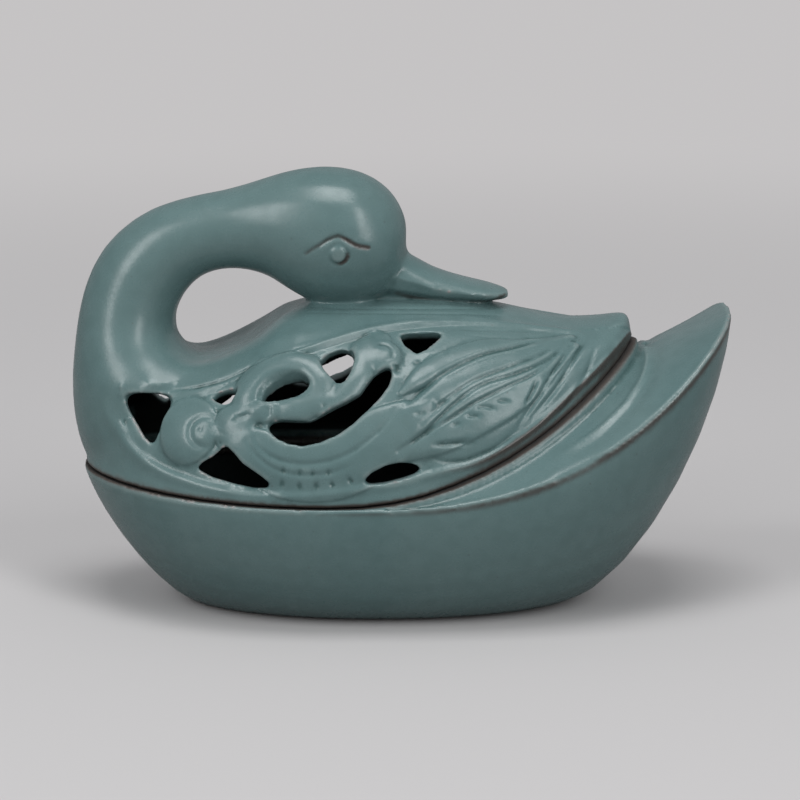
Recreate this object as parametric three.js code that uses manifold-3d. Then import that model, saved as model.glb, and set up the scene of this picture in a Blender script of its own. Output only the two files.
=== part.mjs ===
// A swan-shaped incense burner in glazed stoneware, in millimetres. The swan lies with its breast
// towards -X and its tail towards +X, and its head is turned back to rest its bill on its own back.
// The bowl below carries the tail. The lid is the back, the pierced wings, the neck and the head. The
// burner stands on its foot at z = 0, and the origin lies under the middle of its length.
import * as THREE from "three";
import { mergeVertices } from "three/addons/utils/BufferGeometryUtils.js";
import Module from "manifold-3d";

const wasm = await Module();
wasm.setup();

// Seat: the line where the lid meets the bowl, an oval seen from above that sweeps up to the tail.
const seatCentreX = -19.7;
const seatBowLength = 71.5;
const seatTailLength = 86.5;
const seatHalfWidth = 46;
const seatHeight = 38.2;
const seatBowRise = 3.4;
const seatTailRise = 39.5;
const seatSweep = 2.2;

// Rim: the outer edge of the bowl, just outside the seat in front and far beyond it at the tail.
const rimBowMargin = 0.5;
const rimSideMargin = 2;
const tailReach = 28.2;
const tailSquareness = 2.8;
const rimTailRise = 48.5;
const rimSweep = 2.95;
const rimAboveSeat = 0.5;
const rimRounding = 1;

// Foot: the flat oval that the bowl stands on, with a shallow recess inside its ring.
const footCentreX = -6;
const footHalfLength = 55;
const footHalfWidth = 23;
const footRingWidth = 5;
const footRecess = 1.5;
const recessSlope = 1;

// Hull: how full its curve is from the foot to the rim. One is a straight flare, and more is rounder.
const bowFullness = 1.28;
const sideFullness = 1.65;
const sternFullness = 1.5;
const bowlWall = 5;
const floorThickness = 5;

// Apron: the face between the rim and the ridge round the seat. It is hollowed towards the tail. Its
// section is given by shares of the way from the rim to the ridge, and by shares of the full hollow.
const seatLip = 1.8;
const seatStep = 3;
const seatWidth = 5;
const seatFinishAtBow = 0.1;
const apronHollow = 0.8;
const ridgeHeight = -0.3;
const apronSweep = 1.5;
const apronSection = [
  { way: 0.25, hollow: 0.7 },
  { way: 0.55, hollow: 1 },
  { way: 0.75, hollow: 0.5 },
];
const ridgeWay = 0.9;

// Lid: the shell's wall, the flange that drops inside the seat, and the clearances between lid and
// bowl.
const lidWall = 4.2;
const flangeDrop = 4;
const flangeWall = 2.6;
const flangeClearance = 1;
const restingGap = 0.3;
const lipSetback = 0.6;
const lipHeightFront = 4;
const lipHeightTail = 5.2;

// Back: the spine from the neck's root to the tip of the lid's tail, as distance along X and height.
const spine = [
  [-80, 71],
  [-68, 73.5],
  [-58, 75],
  [-48, 77.4],
  [-38, 82.4],
  [-32, 86],
  [-26, 89],
  [-14, 89.8],
  [4, 90],
  [20, 89.2],
  [34, 86.6],
  [46, 83.8],
  [57, 83.9],
  [65.2, 85.4],
];
const bowDomeFullness = 2.3;
const tailDomeFullness = 1.9;

// Breast, neck and head, as one loft. Each station has its outer and its inner point in the plane of
// symmetry, as distance along X and height, and its half-width across.
const neck = [
  { outer: [-90.9, 43], inner: [-52, 42], halfWidth: 19 },
  { outer: [-94, 51], inner: [-50, 50], halfWidth: 23 },
  { outer: [-95.1, 60], inner: [-49, 60], halfWidth: 24 },
  { outer: [-94.7, 69], inner: [-47, 69], halfWidth: 24 },
  { outer: [-93.9, 76.5], inner: [-60, 75.6], halfWidth: 19 },
  { outer: [-92.8, 84], inner: [-64.8, 82], halfWidth: 15.5 },
  { outer: [-90.6, 93], inner: [-63, 89], halfWidth: 14 },
  { outer: [-86.2, 102.4], inner: [-60.4, 92.8], halfWidth: 13.2 },
  { outer: [-79.6, 109.8], inner: [-57, 95.9], halfWidth: 12.6 },
  { outer: [-70.6, 115.6], inner: [-52.6, 97.7], halfWidth: 12 },
  { outer: [-59.7, 119], inner: [-47.6, 98.2], halfWidth: 11.7 },
  { outer: [-48, 121.4], inner: [-42.6, 97.6], halfWidth: 12.1 },
  { outer: [-38.4, 124.4], inner: [-37, 95.6], halfWidth: 14 },
  { outer: [-30, 126.8], inner: [-29.6, 90.6], halfWidth: 16.4 },
  { outer: [-20, 127.7], inner: [-21.6, 87.4], halfWidth: 18 },
  { outer: [-11.4, 126.2], inner: [-12.6, 87.6], halfWidth: 17.7 },
  { outer: [-4.6, 122.4], inner: [-5.2, 90], halfWidth: 15.2 },
  { outer: [-0.2, 117], inner: [-0.8, 95.2], halfWidth: 11 },
  { outer: [1.9, 111.2], inner: [1.5, 101], halfWidth: 5.4 },
];
const neckWall = 4.6;
const boreFirstStation = 1;
const boreLastStation = 16;

// Bill: stations from inside the head to the tip, as a centre and half-sizes. The bill rests on the
// back.
const bill = [
  { x: -8, z: 98.2, halfWidth: 9.6, halfHeight: 8.8 },
  { x: 3, z: 96, halfWidth: 9.6, halfHeight: 6.4 },
  { x: 9, z: 94, halfWidth: 9.6, halfHeight: 4.8 },
  { x: 17, z: 92.5, halfWidth: 9.4, halfHeight: 3.5 },
  { x: 24.5, z: 91.6, halfWidth: 8.6, halfHeight: 2.6 },
  { x: 29, z: 91, halfWidth: 6, halfHeight: 1.9 },
  { x: 31, z: 90.8, halfWidth: 2.6, halfHeight: 1 },
];

// Windows of each wing, as outlines seen square to the cut. The knife rises by the tilt, in degrees.
// Each point has two numbers. The first is the share of the way from the seat's middle to its tail end,
// or, below zero, to its bow end. The second is a height up the cut's own plane, which passes through
// the origin.
const windows = {
  breastTriangle: {
    tilt: 15,
    outline: [
      [-0.815, 57.5], [-0.717, 58.3], [-0.634, 57.5], [-0.62, 56], [-0.662, 51], [-0.69, 44.5],
      [-0.71, 44], [-0.759, 49],
    ],
  },
  upperSlit: {
    tilt: 30,
    outline: [[-0.466, 43.5], [-0.41, 45], [-0.354, 44.6], [-0.389, 40.5], [-0.424, 40.5]],
  },
  eye: {
    tilt: 38,
    outline: [
      [-0.263, 30], [-0.256, 34.5], [-0.186, 38.3], [-0.116, 38.3], [-0.074, 35], [-0.102, 32],
      [-0.186, 30.3],
    ],
  },
  drop: {
    tilt: 42,
    outline: [[-0.039, 37], [0.037, 41.3], [0.074, 40], [0.077, 35.5], [0.043, 29.3], [0.014, 30.5]],
  },
  shoulderTriangle: {
    tilt: 50,
    outline: [[0.228, 36.3], [0.297, 37.6], [0.366, 37.4], [0.343, 34], [0.283, 29.4]],
  },
  crescent: {
    tilt: 25,
    outline: [
      [-0.242, 38.5], [-0.186, 39.7], [-0.074, 39.3], [0.008, 42.5], [0.101, 47], [0.147, 53],
      [0.201, 55], [0.193, 50], [0.124, 42.5], [0.031, 35.5], [-0.102, 32.4], [-0.2, 34.5],
    ],
  },
  lowerTriangle: {
    tilt: 10,
    outline: [
      [-0.396, 47.3], [-0.333, 42.5], [-0.228, 37], [-0.242, 35.6], [-0.368, 36.6], [-0.522, 40.8],
      [-0.452, 44.5],
    ],
  },
  lowerOval: {
    tilt: 10,
    outline: [[0.112, 38], [0.182, 42], [0.262, 42.7], [0.297, 41], [0.234, 38.5], [0.129, 37]],
  },
};
const windowStartClearance = 2;
const cutReach = 130;

// Carving of each wing: rolls of clay that stand on its skin, drawn on a plane that leans back by the
// tilt. A mark on a roll's middle line has the two numbers that a window's point has, and a half-width.
const carvingTilt = 35;
const scrollHeight = 1.3;
const scrolls = {
  volute: [
    [-0.375, 29, 2.6], [-0.421, 33, 3], [-0.488, 34.9, 3.2], [-0.555, 33.6, 3.6],
    [-0.592, 29.4, 3.9], [-0.58, 24.8, 3.9], [-0.533, 22, 3.6], [-0.477, 21.8, 2.8],
    [-0.438, 23.4, 1.8],
  ],
  wingBone: [
    [-0.488, 28.4, 1.6], [-0.404, 26.8, 3.2], [-0.312, 20.9, 4.8], [-0.158, 16, 6.2],
    [0.02, 16.3, 6.8], [0.158, 22.4, 6.8], [0.262, 28.2, 4.8], [0.332, 32.6, 1.4],
  ],
  hook: [
    [-0.32, 30.5, 2.6], [-0.329, 35.6, 2.9], [-0.306, 40.4, 2.9], [-0.256, 43.6, 2.7],
    [-0.172, 45.4, 2.5], [-0.088, 44.2, 2.9], [-0.036, 40, 3.2], [-0.038, 35.6, 3.2],
    [-0.085, 32, 3], [-0.147, 30.9, 2.7], [-0.222, 31, 1.8],
  ],
  curl: [
    [-0.011, 31.8, 1.8], [0.029, 33.9, 2.6], [0.064, 36.9, 3], [0.089, 40.5, 3.2],
    [0.102, 45.1, 3.4], [0.119, 49.6, 3.2], [0.161, 52.6, 3], [0.207, 51.8, 2.9], [0.232, 48.2, 2.7],
    [0.218, 44.4, 1.8],
  ],
};
const featherHeight = 1;
const feathers = {
  upper: [[0.234, 36, 0.8], [0.332, 43, 3.2], [0.494, 50.6, 3], [0.644, 53.8, 1.8], [0.783, 58.2, 0.8]],
  middle: [
    [0.239, 29, 0.8], [0.343, 35.4, 3.4], [0.471, 42.8, 4], [0.609, 48, 3.3], [0.725, 53.6, 1.9],
    [0.794, 58, 0.8],
  ],
  lower: [
    [0.205, 20.6, 0.8], [0.332, 28.6, 2], [0.459, 36.6, 2.3], [0.563, 40.8, 2.2], [0.667, 45, 2.4],
    [0.794, 55.4, 0.8],
  ],
  outer: [
    [0.228, 17.6, 0.8], [0.355, 23.8, 3.6], [0.482, 31, 4.6], [0.586, 36.2, 4], [0.679, 42.6, 2.8],
    [0.806, 54.6, 0.8],
  ],
};
const frameHeight = 0.7;
const frame = {
  top: [
    [-0.829, 42, 0.8], [-0.731, 41.5, 1.2], [-0.634, 41.3, 1.3], [-0.536, 41.4, 1.4],
    [-0.438, 42.3, 1.4], [-0.256, 46.3, 1.5], [-0.06, 50.8, 1.5], [0.124, 56.6, 1.5],
    [0.297, 60, 1.4], [0.551, 61.3, 1.2], [0.817, 60.8, 0.8],
  ],
  low: [
    [-0.871, 41, 0.8], [-0.846, 35.2, 1.1], [-0.801, 29.2, 1.2], [-0.723, 22.6, 1.3],
    [-0.578, 15.6, 1.4], [-0.396, 10.9, 1.4], [-0.2, 8.8, 1.4], [0.008, 9, 1.4], [0.182, 11.6, 1.4],
    [0.366, 15.6, 1.6], [0.54, 22.6, 1.8], [0.69, 31.2, 2], [0.817, 42.2, 1.8], [0.903, 52, 1],
  ],
};

// A roll's section: shares of the half-width across, and of the height above the skin. It is rooted
// below the skin.
const rollSection = [
  { across: -1.15, lift: -1.2 },
  { across: -0.7, lift: 0.7 },
  { across: 0, lift: 1 },
  { across: 0.7, lift: 0.7 },
  { across: 1.15, lift: -1.2 },
  { across: 0, lift: -2 },
];
// How finely the shapes are faceted.
const ringSides = 60;
const hullLevels = 8;
const hollowedLevels = 5;
const domeLevels = 9;
const innerDomeLevels = 5;
const spineSteps = 280;
const neckSides = 20;
const neckSteps = 30;
const boreSides = 12;
const boreSteps = 18;
const billSides = 12;
const billSteps = 9;
const windowStepsPerPoint = 2;
const scrollStepsPerMark = 2;
const lineStepsPerMark = 1;
const joinDistance = 0.001;
const weldDistance = 0.01;

// Joining and cutting of closed meshes.
function solidOf(geometry) {
  const bare = geometry.clone();
  for (const name of Object.keys(bare.attributes)) {
    if (name !== "position") bare.deleteAttribute(name);
  }
  const merged = mergeVertices(bare, joinDistance);
  return new wasm.Manifold(
    new wasm.Mesh({
      numProp: 3,
      vertProperties: new Float32Array(merged.attributes.position.array),
      triVerts: new Uint32Array(merged.index.array),
    }),
  );
}

// Corners closer than the weld distance become one, and the slivers that this flattens are dropped.
function geometryOf(solid) {
  const mesh = solid.getMesh();
  const raw = new THREE.BufferGeometry();
  raw.setAttribute("position", new THREE.BufferAttribute(mesh.vertProperties, 3));
  raw.setIndex(new THREE.BufferAttribute(mesh.triVerts, 1));
  const geometry = mergeVertices(raw, weldDistance);
  const kept = [];
  for (let i = 0; i < geometry.index.count; i += 3) {
    const [a, b, c] = [0, 1, 2].map((corner) => geometry.index.getX(i + corner));
    if (a !== b && b !== c && c !== a) kept.push(a, b, c);
  }
  geometry.setIndex(kept);
  geometry.computeVertexNormals();
  return geometry;
}

// A closed skin over rings of equal length. An open end is closed by a fan of triangles round its
// middle.
function skin(rings, { openEnds = [rings[0], rings[rings.length - 1]] } = {}) {
  const sides = rings[0].length;
  const positions = [];
  for (const ring of rings) {
    for (const point of ring) positions.push(point.x, point.y, point.z);
  }
  const index = [];
  for (let row = 0; row + 1 < rings.length; row++) {
    for (let side = 0; side < sides; side++) {
      const next = (side + 1) % sides;
      const [a, b] = [row * sides + side, row * sides + next];
      index.push(a, b, b + sides, a, b + sides, a + sides);
    }
  }
  for (const ring of openEnds) {
    const middle = new THREE.Vector3();
    for (const point of ring) middle.addScaledVector(point, 1 / sides);
    const hub = positions.length / 3;
    positions.push(middle.x, middle.y, middle.z);
    const row = rings.indexOf(ring);
    for (let side = 0; side < sides; side++) {
      const [a, b] = [row * sides + side, row * sides + ((side + 1) % sides)];
      index.push(...(row === 0 ? [hub, b, a] : [hub, a, b]));
    }
  }
  if (signedVolume(positions, index) < 0) index.reverse();
  const geometry = new THREE.BufferGeometry();
  geometry.setAttribute("position", new THREE.BufferAttribute(new Float32Array(positions), 3));
  geometry.setIndex(index);
  return geometry;
}

function signedVolume(positions, index) {
  const corner = (i) => new THREE.Vector3().fromArray(positions, 3 * index[i]);
  let sum = 0;
  for (let i = 0; i < index.length; i += 3) sum += corner(i).dot(corner(i + 1).cross(corner(i + 2))) / 6;
  return sum;
}

// Ovals seen from above. Angle 0 is the tail and half a turn is the breast.
const seatOval = {
  x: seatCentreX,
  bow: seatBowLength,
  tail: seatTailLength,
  halfWidth: seatHalfWidth,
  squareness: 2,
};
const rimOval = {
  x: seatCentreX,
  bow: seatBowLength + rimBowMargin,
  tail: seatTailLength + tailReach,
  halfWidth: seatHalfWidth + rimSideMargin,
  squareness: tailSquareness,
};
const footOval = {
  x: footCentreX,
  bow: footHalfLength,
  tail: footHalfLength,
  halfWidth: footHalfWidth,
  squareness: 2,
};

function signedPower(value, power) {
  return Math.sign(value) * Math.abs(value) ** power;
}

function ovalPoint(oval, angle, inset, z = 0) {
  const towardsTail = Math.cos(angle) > 0;
  const power = 2 / (towardsTail ? oval.squareness : 2);
  const length = (towardsTail ? oval.tail : oval.bow) - inset;
  const x = oval.x + length * signedPower(Math.cos(angle), power);
  return new THREE.Vector3(x, (oval.halfWidth - inset) * signedPower(Math.sin(angle), power), z);
}

// The share of the way from an oval's middle to its tail, below zero towards the breast.
function sternShare(oval, angle) {
  const point = ovalPoint(oval, angle, 0);
  return (point.x - oval.x) / (point.x > oval.x ? oval.tail : oval.bow);
}

function seatLevel(angle) {
  const share = sternShare(seatOval, angle);
  return seatHeight + (share < 0 ? seatBowRise * share ** 2 : seatTailRise * share ** seatSweep);
}

function rimLevel(angle) {
  const share = sternShare(rimOval, angle);
  const rise = share < 0 ? seatBowRise * share ** 2 : rimTailRise * share ** rimSweep;
  return seatHeight + rimAboveSeat + rise;
}

const ringAngles = Array.from({ length: ringSides }, (_, side) => (side / ringSides) * 2 * Math.PI);

function ringOf(oval, inset, level) {
  return ringAngles.map((angle) => {
    return ovalPoint(oval, angle, inset, typeof level === "function" ? level(angle) : level);
  });
}

// Bowl: the hull swells from the foot to the rim, the apron falls to the seat, and the inside follows
// the hull.
function fullnessAt(angle) {
  const c = Math.cos(angle);
  return sideFullness + c * c * ((c < 0 ? bowFullness : sternFullness) - sideFullness);
}

function hullRings(lower, upper, levels) {
  const rings = [];
  for (let level = 1; level <= levels; level++) {
    const share = Math.sin((level / levels) * Math.PI * 0.5);
    rings.push(
      lower.map((point, side) => {
        const fullness = fullnessAt(ringAngles[side]);
        const climb = 1 - (1 - share ** fullness) ** (1 / fullness);
        const mixed = point.clone().lerp(upper[side], share);
        mixed.z = THREE.MathUtils.lerp(point.z, upper[side].z, climb);
        return mixed;
      }),
    );
  }
  return rings;
}

// A ring moved inwards in plan at each of its points.
function insetRing(ring, inset) {
  return ring.map((point, side) => {
    const next = ring[(side + 1) % ring.length];
    const before = ring[(side + ring.length - 1) % ring.length];
    const inwards = new THREE.Vector3(before.y - next.y, next.x - before.x, 0).setLength(inset);
    return point.clone().add(inwards);
  });
}

function apronRing(rimTop, ridgeFoot, way, lift) {
  return rimTop.map((point, side) => {
    const hollowed = Math.max(0, sternShare(rimOval, ringAngles[side])) ** apronSweep;
    const mixed = point.clone().lerp(ridgeFoot[side], way);
    mixed.z += lift * hollowed;
    return mixed;
  });
}

// The seat's outer lip, full at the tail and nearly gone at the breast, at a depth below the seat.
function seatLipRing(depth) {
  return ringAngles.map((angle) => {
    const share = THREE.MathUtils.mapLinear(sternShare(seatOval, angle), -1, 1, seatFinishAtBow, 1);
    return ovalPoint(seatOval, angle, -seatLip * share, seatLevel(angle) - depth * share);
  });
}

function bowlSolid() {
  const footOuter = ringOf(footOval, 0, 0);
  const rimOuter = ringOf(rimOval, 0, (angle) => rimLevel(angle) - rimRounding);
  const rimTop = ringOf(rimOval, rimRounding / 2, rimLevel);
  const hull = hullRings(footOuter, rimOuter, hullLevels);
  const ridgeFoot = seatLipRing(seatStep);
  const body = skin([
    ringOf(footOval, footRingWidth + recessSlope, footRecess),
    ringOf(footOval, footRingWidth, 0),
    footOuter,
    ...hull,
    rimTop,
    ...apronSection.map(({ way, hollow }) => apronRing(rimTop, ridgeFoot, way, -apronHollow * hollow)),
    apronRing(rimTop, ridgeFoot, ridgeWay, ridgeHeight),
    ridgeFoot,
    seatLipRing(0),
    ringOf(seatOval, seatWidth, seatLevel),
  ]);
  const cavity = skin([
    ringOf(footOval, bowlWall, footRecess + floorThickness),
    ...hull.slice(1, hollowedLevels).map((ring) => insetRing(ring, bowlWall)),
    ringOf(seatOval, seatWidth, (angle) => seatLevel(angle) - bowlWall),
    ringOf(seatOval, seatWidth, (angle) => seatLevel(angle) + bowlWall),
  ]);
  return solidOf(body).subtract(solidOf(cavity));
}

// Back: a dome from the lip above the seat to the spine. Inset gives the same dome inside the wall.
const spineLine = new THREE.SplineCurve(spine.map(([x, z]) => new THREE.Vector2(x, z))).getPoints(spineSteps);

function spineLevel(x) {
  const after = spineLine.findIndex((point) => point.x >= x);
  if (after === -1) return spineLine[spineLine.length - 1].y;
  if (after === 0) return spineLine[0].y;
  const [a, b] = [spineLine[after - 1], spineLine[after]];
  return THREE.MathUtils.mapLinear(x, a.x, b.x, a.y, b.y);
}

function lipLevel(angle) {
  const share = Math.max(0, sternShare(seatOval, angle));
  return seatLevel(angle) + lipHeightFront + (lipHeightTail - lipHeightFront) * share;
}

function domePoint(angle, climb, inset) {
  const share = sternShare(seatOval, angle);
  const lip = ovalPoint(seatOval, angle, lipSetback + inset, lipLevel(angle));
  const [first, last] = [spine[0][0] + inset, spine[spine.length - 1][0] - inset];
  const x = THREE.MathUtils.mapLinear(share, -1, 1, first, last);
  const top = spineLevel(x) - inset;
  const fullness = THREE.MathUtils.mapLinear(share, -1, 1, bowDomeFullness, tailDomeFullness);
  const turn = (climb * Math.PI) / 2;
  const across = signedPower(Math.cos(turn), 2 / fullness);
  const up = Math.sin(turn) ** (2 / fullness);
  return new THREE.Vector3(
    THREE.MathUtils.lerp(x, lip.x, across),
    climb === 1 ? 0 : lip.y * across,
    THREE.MathUtils.lerp(lip.z, top, up),
  );
}

function domeRings(levels, inset) {
  const rings = [];
  for (let level = 0; level <= levels; level++) {
    rings.push(ringAngles.map((angle) => domePoint(angle, level / levels, inset)));
  }
  return rings;
}

function backSolid() {
  const above = (angle) => seatLevel(angle) + restingGap;
  const below = (angle) => seatLevel(angle) - flangeDrop;
  const flangeOuter = seatWidth + flangeClearance;
  const rings = [
    ringOf(seatOval, flangeOuter, below),
    ringOf(seatOval, flangeOuter, above),
    ringOf(seatOval, lipSetback, above),
    ringOf(seatOval, 0, (angle) => above(angle) + lipSetback),
    ...domeRings(domeLevels, 0),
  ];
  return solidOf(skin(rings, { openEnds: [rings[0]] }));
}

function cavitySolid() {
  const flangeInner = seatWidth + flangeClearance + flangeWall;
  const rings = [
    ringOf(seatOval, flangeInner, (angle) => seatLevel(angle) - 2 * flangeDrop),
    ringOf(seatOval, flangeInner, (angle) => seatLevel(angle) + restingGap),
    ...domeRings(innerDomeLevels, lidWall),
  ];
  return solidOf(skin(rings, { openEnds: [rings[0]] }));
}

// Neck: rings across the loft, each an ellipse from its outer to its inner point. Inset gives the bore.
function curveThrough(points) {
  return new THREE.CatmullRomCurve3(points, false, "centripetal");
}

function neckRings(stations, inset, sides, steps) {
  const outerLine = curveThrough(stations.map(({ outer: [x, z] }) => new THREE.Vector3(x, 0, z)));
  const innerLine = curveThrough(stations.map(({ inner: [x, z] }) => new THREE.Vector3(x, 0, z)));
  const rings = [];
  for (let step = 0; step <= steps; step++) {
    const place = (step / steps) * (stations.length - 1);
    const before = Math.min(Math.floor(place), stations.length - 2);
    const halfWidth = THREE.MathUtils.lerp(
      stations[before].halfWidth,
      stations[before + 1].halfWidth,
      place - before,
    );
    const outer = outerLine.getPoint(step / steps);
    const inner = innerLine.getPoint(step / steps);
    const middle = outer.clone().lerp(inner, 0.5);
    const arm = outer.clone().sub(middle);
    arm.setLength(arm.length() - inset);
    const ring = [];
    for (let side = 0; side < sides; side++) {
      const angle = (side / sides) * 2 * Math.PI;
      const point = middle.clone().addScaledVector(arm, Math.cos(angle));
      point.y = (halfWidth - inset) * Math.sin(angle);
      ring.push(point);
    }
    rings.push(ring);
  }
  return rings;
}

function neckSolid() {
  return solidOf(skin(neckRings(neck, 0, neckSides, neckSteps)));
}

function boreSolid() {
  const stations = neck.slice(boreFirstStation, boreLastStation + 1);
  return solidOf(skin(neckRings(stations, neckWall, boreSides, boreSteps)));
}

function billSolid() {
  const line = curveThrough(bill.map(({ x, z }) => new THREE.Vector3(x, 0, z)));
  const girth = curveThrough(bill.map((s) => new THREE.Vector3(0, s.halfWidth, s.halfHeight)));
  const rings = [];
  for (let step = 0; step <= billSteps; step++) {
    const centre = line.getPoint(step / billSteps);
    const half = girth.getPoint(step / billSteps);
    const ring = [];
    for (let side = 0; side < billSides; side++) {
      const angle = (side / billSides) * 2 * Math.PI;
      ring.push(new THREE.Vector3(centre.x, half.y * Math.cos(angle), centre.z + half.z * Math.sin(angle)));
    }
    rings.push(ring);
  }
  return solidOf(skin(rings));
}

// Wings: their drawing is stretched with the seat, so that it stays on the wing.
function markPoint([share, up, halfWidth = 0]) {
  const x = seatCentreX + share * (share > 0 ? seatTailLength : seatBowLength);
  return new THREE.Vector3(x, up, halfWidth);
}

// Rolls: each is a loft along its middle line, laid on the skin of the wing at -Y and mirrored for the
// other wing.
const carvingLean = THREE.MathUtils.degToRad(carvingTilt);
const carvingUp = new THREE.Vector3(0, Math.sin(carvingLean), Math.cos(carvingLean));
const carvingOut = new THREE.Vector3(0, -Math.cos(carvingLean), Math.sin(carvingLean));

function pointOnSkin(body, x, up, lift) {
  const onPlane = new THREE.Vector3(x, 0, 0).addScaledVector(carvingUp, up);
  const start = onPlane.addScaledVector(carvingOut, cutReach);
  const [hit] = new THREE.Raycaster(start, carvingOut.clone().negate()).intersectObject(body);
  return hit.point.addScaledVector(carvingOut, lift);
}

function rollRings(body, marks, height, stepsPerMark) {
  const line = curveThrough(marks.map(markPoint));
  const middle = line.getPoints(stepsPerMark * (marks.length - 1));
  return middle.map((point, i) => {
    const ahead = middle[Math.min(i + 1, middle.length - 1)];
    const behind = middle[Math.max(i - 1, 0)];
    const across = new THREE.Vector2(behind.y - ahead.y, ahead.x - behind.x).setLength(point.z);
    return rollSection.map((corner) => {
      const [x, up] = [point.x + across.x * corner.across, point.y + across.y * corner.across];
      return pointOnSkin(body, x, up, corner.lift * height);
    });
  });
}

function carvedWings(solid) {
  const body = new THREE.Mesh(geometryOf(solid));
  let carved = solid;
  const groups = [
    [frame, frameHeight, lineStepsPerMark],
    [feathers, featherHeight, lineStepsPerMark],
    [scrolls, scrollHeight, scrollStepsPerMark],
  ];
  for (const [group, height, stepsPerMark] of groups) {
    for (const marks of Object.values(group)) {
      const rings = rollRings(body, marks, height, stepsPerMark);
      const mirrored = rings.map((ring) => ring.map(({ x, y, z }) => new THREE.Vector3(x, -y, z)));
      carved = carved.add(solidOf(skin(rings))).add(solidOf(skin(mirrored)));
    }
  }
  return carved;
}

// Windows: each outline is cut outwards from near the middle plane, through one wing. The other wing's
// cut is the same outline turned half a turn about the upright axis, with its lengths reversed.
function windowCutter({ tilt, outline }, side) {
  const loop = new THREE.CatmullRomCurve3(outline.map(markPoint), true);
  const edge = loop.getPoints(windowStepsPerPoint * outline.length).slice(1);
  const shape = new THREE.Shape(edge.map(({ x, y }) => new THREE.Vector2(side * x, y)));
  const angle = THREE.MathUtils.degToRad(tilt);
  const start = Math.max(...outline.map(([, up]) => up)) * Math.tan(angle) + windowStartClearance;
  const cutter = new THREE.ExtrudeGeometry(shape, { depth: cutReach - start, bevelEnabled: false });
  cutter.translate(0, 0, start);
  cutter.rotateX(Math.PI / 2 - angle);
  return side === 1 ? cutter : cutter.rotateZ(Math.PI);
}

// The lid is joined as if it were solid, carved, then hollowed, and its wings are pierced last.
function lidSolid() {
  const full = carvedWings(backSolid().add(neckSolid()).add(billSolid()));
  let lid = full.subtract(cavitySolid()).subtract(boreSolid());
  for (const window of Object.values(windows)) {
    for (const side of [1, -1]) lid = lid.subtract(solidOf(windowCutter(window, side)));
  }
  return lid;
}

// Materials.
const celadonGlaze = new THREE.MeshStandardMaterial({ color: 0x7d9f9d, roughness: 0.35, metalness: 0 });

function piece(name, solid, material) {
  const mesh = new THREE.Mesh(geometryOf(solid), material);
  mesh.name = name;
  return mesh;
}

const swan = new THREE.Group();
swan.add(piece("bowl", bowlSolid(), celadonGlaze));
swan.add(piece("lid", lidSolid(), celadonGlaze));

export default swan;
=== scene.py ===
# %% [markdown]
# # A swan-shaped incense burner in celadon glaze
# The burner is fired stoneware in two pieces. The bowl is the swan's belly and tail, and the lid is its
# back, its pierced wings, its neck and its head, turned back to sleep on its own feathers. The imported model
# gives both solids at their real place, in metres, with +Z up and the breast towards -X.

# %% Load the frame
import math
import bpy
import numpy as np
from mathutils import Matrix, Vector
from mathutils.bvhtree import BVHTree
from mathutils.kdtree import KDTree


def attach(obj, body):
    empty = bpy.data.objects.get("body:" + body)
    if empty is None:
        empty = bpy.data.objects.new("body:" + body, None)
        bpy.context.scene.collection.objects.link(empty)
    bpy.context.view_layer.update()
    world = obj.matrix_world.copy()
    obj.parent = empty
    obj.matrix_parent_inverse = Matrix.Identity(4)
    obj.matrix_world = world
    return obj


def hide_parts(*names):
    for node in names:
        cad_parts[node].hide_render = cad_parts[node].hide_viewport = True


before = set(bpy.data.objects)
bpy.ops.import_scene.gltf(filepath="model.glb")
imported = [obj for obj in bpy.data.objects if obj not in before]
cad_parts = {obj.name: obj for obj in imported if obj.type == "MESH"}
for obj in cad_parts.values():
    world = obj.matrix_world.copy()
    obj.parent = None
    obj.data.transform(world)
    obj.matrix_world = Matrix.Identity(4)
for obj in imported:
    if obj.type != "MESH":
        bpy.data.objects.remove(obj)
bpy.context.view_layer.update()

MM = 0.001

# %% [markdown]
# ## The camera
# The burner is seen from its left side, a little from above, through a long lens. The lens is worked out
# from how much of the object one pixel of the 800-pixel picture covers.

# %% Camera
VIEW_DISTANCE = 0.900
VIEW_ELEVATION = math.radians(12.5)
VIEW_TARGET = Vector((0, 0, 0.0593))
PIXEL_AT_TARGET = 0.290 * MM
IMAGE_PIXELS = 800

camera_data = bpy.data.cameras.new("camera")
camera_data.sensor_width = 36
camera_data.lens = camera_data.sensor_width * VIEW_DISTANCE / (IMAGE_PIXELS * PIXEL_AT_TARGET)
camera = bpy.data.objects.new("camera", camera_data)
bpy.context.scene.collection.objects.link(camera)
towards_camera = Vector((0, -math.cos(VIEW_ELEVATION), math.sin(VIEW_ELEVATION)))
camera.location = VIEW_TARGET + towards_camera * VIEW_DISTANCE
camera.rotation_euler = (-towards_camera).to_track_quat("-Z", "Y").to_euler()
bpy.context.scene.camera = camera
print("lens", round(camera_data.lens, 1), "mm")

# %% [markdown]
# ## Small helpers
# Operators act on whatever is selected, so each step starts by picking one object and nothing else. A
# modifier is added, set and applied in one go, so that its result is in the mesh that the next step reads.

# %% Pick one object, apply one modifier
def pick(piece):
    bpy.ops.object.select_all(action="DESELECT")
    piece.select_set(True)
    bpy.context.view_layer.objects.active = piece


def apply_modifier(piece, kind, **settings):
    pick(piece)
    modifier = piece.modifiers.new(kind.title(), kind)
    for name, value in settings.items():
        setattr(modifier, name, value)
    bpy.ops.object.modifier_apply(modifier=modifier.name)


def places(piece):
    """The piece's vertices as rows of x, y and z, in millimetres."""
    flat = np.empty(3 * len(piece.data.vertices))
    piece.data.vertices.foreach_get("co", flat)
    return flat.reshape(-1, 3) / MM


def normals_of(piece):
    flat = np.empty(3 * len(piece.data.vertices))
    piece.data.vertices.foreach_get("normal", flat)
    return flat.reshape(-1, 3)


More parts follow.
